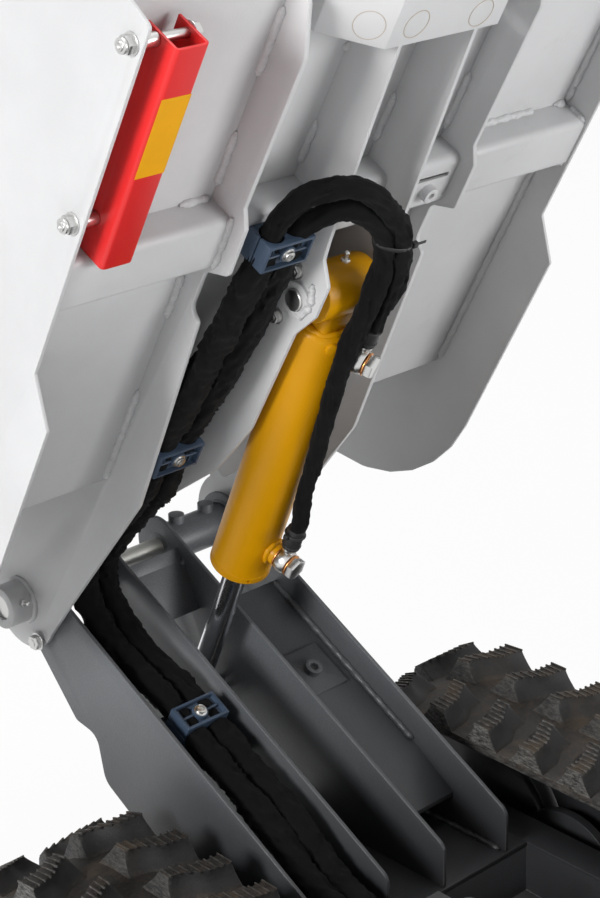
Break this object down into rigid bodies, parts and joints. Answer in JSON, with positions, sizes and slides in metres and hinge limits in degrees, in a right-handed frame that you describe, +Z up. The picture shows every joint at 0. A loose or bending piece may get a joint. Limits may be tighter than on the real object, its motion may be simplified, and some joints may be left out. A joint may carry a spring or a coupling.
{
  "type": "tracked_power_carrier",
  "caption": "Walk-behind tracked power carrier with a front-tipping skip, shown tipped on its hydraulic cylinder, with safety strut and rubber tracks",
  "frame": {"origin": "on the ground, under the centre of the bounding box", "axes": "+X is the machine's right side, +Y the way it drives and tips, +Z up"},
  "size_m": [0.777, 2.2362, 1.6053],
  "materials": {
    "grey_paint": "satin",
    "dark_paint": "satin",
    "yellow_paint": "gloss",
    "red_paint": "satin",
    "track_rubber": "matte",
    "hose_sleeve": "woven",
    "clamp_plastic": "matte",
    "black_plastic": "matte",
    "plated_steel": "satin",
    "chromed_rod": "polished",
    "machine_iron": "matte"
  },
  "bodies": {
    "chassis": {"chassis_frame": "dark_paint", "deck_plate": "dark_paint", "engine_deck": "dark_paint", "tower_plate_outer_left": "dark_paint", "tower_plates_inner": "dark_paint", "tower_plate_outer_right": "dark_paint", "tower_cross_plates": "dark_paint", "pivot_tubes": "dark_paint", "skip_pivot_pin": "plated_steel", "track_frame_left": "dark_paint", "track_frame_right": "dark_paint", "rubber_track_left": "track_rubber", "rubber_track_right": "track_rubber", "drive_motors": "machine_iron", "engine": "machine_iron", "muffler": "machine_iron", "fuel_tank": "black_plastic", "hydraulic_tank": "dark_paint", "hydraulic_pump": "machine_iron", "valve_block": "machine_iron", "console": "dark_paint", "grab_rail": "dark_paint", "tower_hoses": "hose_sleeve", "pivot_hoses": "hose_sleeve", "tower_clamp": "clamp_plastic"},
    "skip": {"skip_floor": "grey_paint", "skip_front_wall": "grey_paint", "skip_rear_wall": "grey_paint", "skip_side_left": "grey_paint", "skip_side_right": "grey_paint", "skip_beam_left": "grey_paint", "skip_beam_right": "grey_paint", "skip_inner_plates": "grey_paint", "skip_cross_member": "grey_paint", "skip_top_bracket": "grey_paint", "safety_strut": "red_paint", "strut_bolts": "plated_steel", "skip_clamps": "clamp_plastic", "skip_hoses": "hose_sleeve", "barrel_pin": "plated_steel"},
    "barrel": {"cylinder_barrel": "yellow_paint", "cylinder_fittings": "plated_steel", "port_hoses": "hose_sleeve"},
    "rod": {"cylinder_rod": "chromed_rod"},
    "hood": {"hood": "grey_paint"},
    "platform": {"operator_platform": "dark_paint"},
    "drive_lever_left": {"drive_lever_left": "black_plastic"},
    "drive_lever_right": {"drive_lever_right": "black_plastic"},
    "tip_lever": {"tip_lever": "black_plastic"},
    "throttle_lever": {"throttle_lever": "black_plastic"},
    "sprocket_left": {"sprocket_left": "dark_paint"},
    "idler_left": {"idler_left": "dark_paint"},
    "roller_left_1": {"roller_left_1": "dark_paint"},
    "roller_left_2": {"roller_left_2": "dark_paint"},
    "roller_left_3": {"roller_left_3": "dark_paint"},
    "sprocket_right": {"sprocket_right": "dark_paint"},
    "idler_right": {"idler_right": "dark_paint"},
    "roller_right_1": {"roller_right_1": "dark_paint"},
    "roller_right_2": {"roller_right_2": "dark_paint"},
    "roller_right_3": {"roller_right_3": "dark_paint"}
  },
  "joints": [
    {"name": "skip_tip", "type": "hinge", "parent": "chassis", "child": "skip", "pos_m": [0, 0.7785, 0.559], "axis": [1, 0, 0], "range_deg": [0, 61.3], "deforming": ["pivot_hoses"]},
    {"name": "barrel_swing", "type": "hinge", "parent": "skip", "child": "barrel", "pos_m": [0, 0.40867, 0.99211], "axis": [1, 0, 0], "range_deg": [-0.5, 0.5], "deforming": ["port_hoses"]},
    {"name": "rod_slide", "type": "slide", "parent": "barrel", "child": "rod", "axis": [0, 0.4077, -0.9131], "range_m": [-0.18987, 0]},
    {"name": "hood_hinge", "type": "hinge", "parent": "chassis", "child": "hood", "pos_m": [-0.292, -0.47614, 0.439], "axis": [0, -1, 0], "range_deg": [0, 80]},
    {"name": "platform_fold", "type": "hinge", "parent": "chassis", "child": "platform", "pos_m": [0, -0.78814, 0.135], "axis": [-1, 0, 0], "range_deg": [0, 85]},
    {"name": "drive_lever_left_swing", "type": "hinge", "parent": "chassis", "child": "drive_lever_left", "pos_m": [-0.06, -0.71314, 0.871], "axis": [1, 0, 0], "range_deg": [-20, 20], "stiffness_Nm_per_rad": 6},
    {"name": "drive_lever_right_swing", "type": "hinge", "parent": "chassis", "child": "drive_lever_right", "pos_m": [0.06, -0.71314, 0.871], "axis": [1, 0, 0], "range_deg": [-20, 20], "stiffness_Nm_per_rad": 6},
    {"name": "tip_lever_swing", "type": "hinge", "parent": "chassis", "child": "tip_lever", "pos_m": [0, -0.71314, 0.871], "axis": [1, 0, 0], "range_deg": [-20, 20], "stiffness_Nm_per_rad": 6},
    {"name": "throttle_lever_swing", "type": "hinge", "parent": "chassis", "child": "throttle_lever", "pos_m": [0.14, -0.71314, 0.871], "axis": [1, 0, 0], "range_deg": [-20, 20]},
    {"name": "sprocket_left_turn", "type": "hinge", "parent": "chassis", "child": "sprocket_left", "pos_m": [-0.293, -0.52014, 0.2], "axis": [1, 0, 0], "continuous": true},
    {"name": "idler_left_turn", "type": "hinge", "parent": "chassis", "child": "idler_left", "pos_m": [-0.293, 0.4735, 0.2], "axis": [1, 0, 0], "continuous": true},
    {"name": "roller_left_1_turn", "type": "hinge", "parent": "chassis", "child": "roller_left_1", "pos_m": [-0.293, 0.27477, 0.0905], "axis": [1, 0, 0], "continuous": true},
    {"name": "roller_left_2_turn", "type": "hinge", "parent": "chassis", "child": "roller_left_2", "pos_m": [-0.293, -0.02332, 0.0905], "axis": [1, 0, 0], "continuous": true},
    {"name": "roller_left_3_turn", "type": "hinge", "parent": "chassis", "child": "roller_left_3", "pos_m": [-0.293, -0.32141, 0.0905], "axis": [1, 0, 0], "continuous": true},
    {"name": "sprocket_right_turn", "type": "hinge", "parent": "chassis", "child": "sprocket_right", "pos_m": [0.293, -0.52014, 0.2], "axis": [1, 0, 0], "continuous": true},
    {"name": "idler_right_turn", "type": "hinge", "parent": "chassis", "child": "idler_right", "pos_m": [0.293, 0.4735, 0.2], "axis": [1, 0, 0], "continuous": true},
    {"name": "roller_right_1_turn", "type": "hinge", "parent": "chassis", "child": "roller_right_1", "pos_m": [0.293, 0.27477, 0.0905], "axis": [1, 0, 0], "continuous": true},
    {"name": "roller_right_2_turn", "type": "hinge", "parent": "chassis", "child": "roller_right_2", "pos_m": [0.293, -0.02332, 0.0905], "axis": [1, 0, 0], "continuous": true},
    {"name": "roller_right_3_turn", "type": "hinge", "parent": "chassis", "child": "roller_right_3", "pos_m": [0.293, -0.32141, 0.0905], "axis": [1, 0, 0], "continuous": true}
  ],
  "couplings": [
    {"joint": "barrel_swing", "follows": "skip_tip", "ratio": 0.003692},
    {"joint": "rod_slide", "follows": "skip_tip", "m_per_rad": -0.17746},
    {"joint": "idler_left_turn", "follows": "sprocket_left_turn", "ratio": 1},
    {"joint": "roller_left_1_turn", "follows": "sprocket_left_turn", "ratio": 3.4444},
    {"joint": "roller_left_2_turn", "follows": "sprocket_left_turn", "ratio": 3.4444},
    {"joint": "roller_left_3_turn", "follows": "sprocket_left_turn", "ratio": 3.4444},
    {"joint": "idler_right_turn", "follows": "sprocket_right_turn", "ratio": 1},
    {"joint": "roller_right_1_turn", "follows": "sprocket_right_turn", "ratio": 3.4444},
    {"joint": "roller_right_2_turn", "follows": "sprocket_right_turn", "ratio": 3.4444},
    {"joint": "roller_right_3_turn", "follows": "sprocket_right_turn", "ratio": 3.4444}
  ]
}
